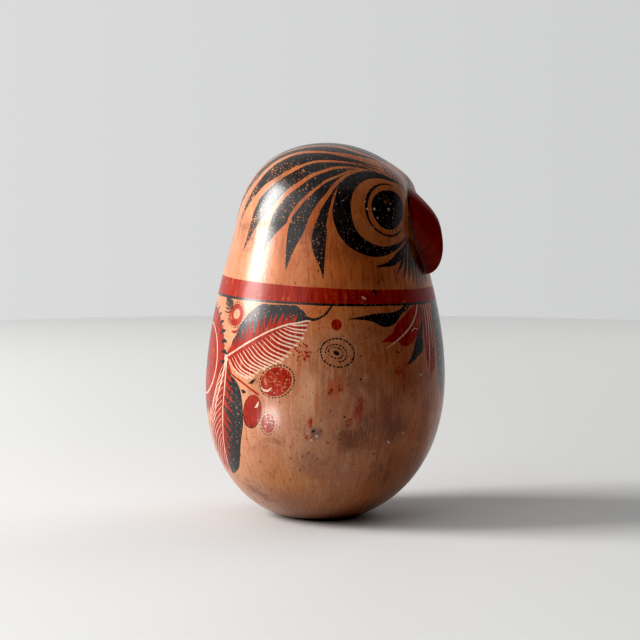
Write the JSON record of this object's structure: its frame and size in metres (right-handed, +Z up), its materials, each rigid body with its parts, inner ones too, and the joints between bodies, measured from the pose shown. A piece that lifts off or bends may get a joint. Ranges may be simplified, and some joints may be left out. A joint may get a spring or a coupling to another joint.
{
  "type": "clay owl figure",
  "caption": "Hollow egg-shaped owl figure of burnished, slip-painted clay with a modelled beak, standing on a small flat foot.",
  "frame": {"origin": "centre of the flat foot, on the underside of the foot disc", "axes": "+Z up through the crown, -Y the way the beak points, +X the owl's left"},
  "size_m": [0.1284, 0.1285, 0.2],
  "materials": {
    "burnished_clay": "burnished tan clay painted with black, red and cream slip, low gloss",
    "red_slip": "burnished dark red slip",
    "raw_clay": "unpolished fired clay"
  },
  "bodies": {
    "root": {"front_half": "burnished_clay", "back_half": "burnished_clay", "beak": "red_slip", "seam_coil": "raw_clay", "beak_slip": "raw_clay", "foot_disc": "raw_clay", "foot_slip": "raw_clay"}
  },
  "joints": []
}
